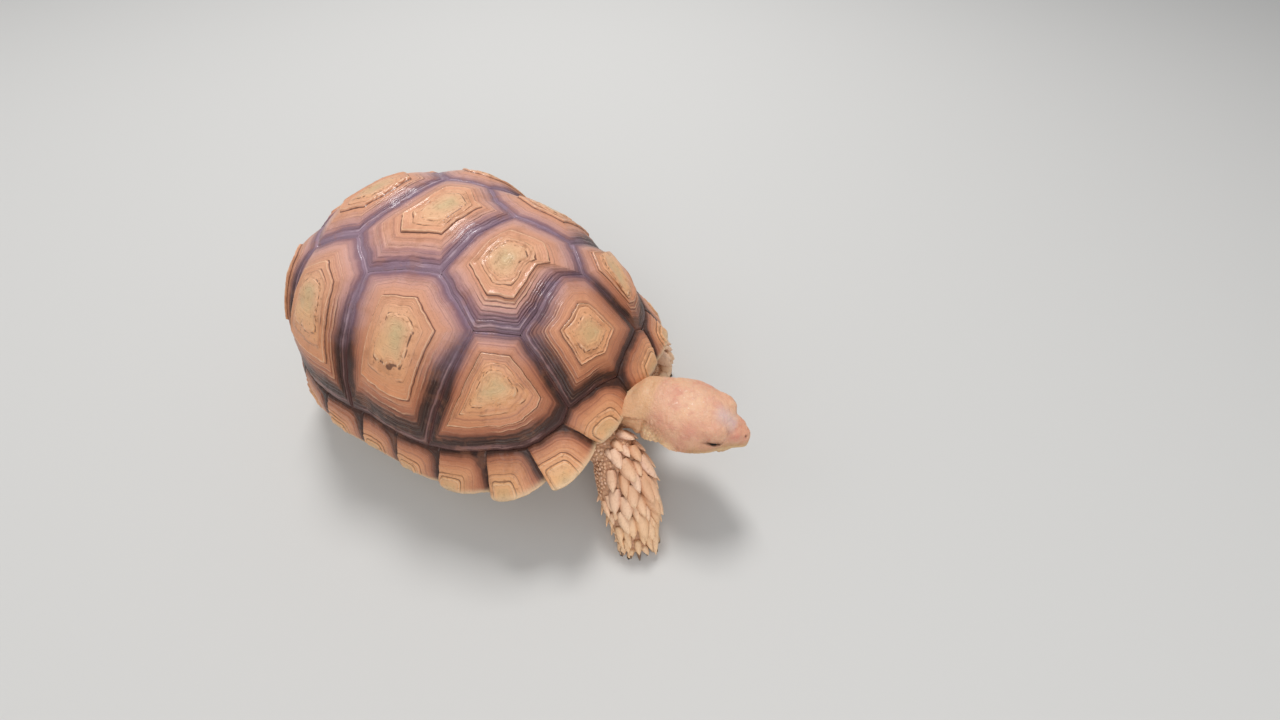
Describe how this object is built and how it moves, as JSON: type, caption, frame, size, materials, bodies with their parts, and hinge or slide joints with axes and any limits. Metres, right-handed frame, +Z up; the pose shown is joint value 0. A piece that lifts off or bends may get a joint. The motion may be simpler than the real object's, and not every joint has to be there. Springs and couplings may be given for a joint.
{
  "type": "sulcata tortoise",
  "caption": "Young sulcata tortoise in a slow walking stance, head stretched out, domed shell with growth rings and a toothed rim, scaled forelegs; a still life-size model",
  "frame": {"origin": "On the floor under the middle of the whole outline, at the level of the soles", "axes": "+Z is up, -Y is the way the head points, +Y is towards the tail, +X is the animal's left"},
  "size_m": [0.2034, 0.311, 0.1414],
  "materials": {
    "carapace_plate": "satin keratin with growth rings",
    "plastron_plate": "satin keratin, paler and smoother",
    "skin": "dry scaled skin",
    "eye": "wet and glossy"
  },
  "bodies": {
    "root": {"vertebral_1": "carapace_plate", "vertebral_2": "carapace_plate", "vertebral_3": "carapace_plate", "vertebral_4": "carapace_plate", "vertebral_5": "carapace_plate", "costal_right_1": "carapace_plate", "costal_right_2": "carapace_plate", "costal_right_3": "carapace_plate", "costal_right_4": "carapace_plate", "costal_left_1": "carapace_plate", "costal_left_2": "carapace_plate", "costal_left_3": "carapace_plate", "costal_left_4": "carapace_plate", "marginal_right_1": "carapace_plate", "marginal_right_2": "carapace_plate", "marginal_right_3": "carapace_plate", "marginal_right_4": "carapace_plate", "marginal_right_5": "carapace_plate", "marginal_right_6": "carapace_plate", "marginal_right_7": "carapace_plate", "marginal_right_8": "carapace_plate", "marginal_right_9": "carapace_plate", "marginal_right_10": "carapace_plate", "marginal_right_11": "carapace_plate", "marginal_left_1": "carapace_plate", "marginal_left_2": "carapace_plate", "marginal_left_3": "carapace_plate", "marginal_left_4": "carapace_plate", "marginal_left_5": "carapace_plate", "marginal_left_6": "carapace_plate", "marginal_left_7": "carapace_plate", "marginal_left_8": "carapace_plate", "marginal_left_9": "carapace_plate", "marginal_left_10": "carapace_plate", "marginal_left_11": "carapace_plate", "supracaudal": "carapace_plate", "gular_right": "plastron_plate", "humeral_right": "plastron_plate", "pectoral_right": "plastron_plate", "abdominal_right": "plastron_plate", "femoral_right": "plastron_plate", "anal_right": "plastron_plate", "gular_left": "plastron_plate", "humeral_left": "plastron_plate", "pectoral_left": "plastron_plate", "abdominal_left": "plastron_plate", "femoral_left": "plastron_plate", "anal_left": "plastron_plate", "trunk": "skin", "neck": "skin", "head": "skin", "jaw": "skin", "tail": "skin", "leg_front_right": "skin", "leg_front_left": "skin", "leg_hind_right": "skin", "leg_hind_left": "skin", "eye_right": "eye", "eye_left": "eye"}
  },
  "joints": []
}
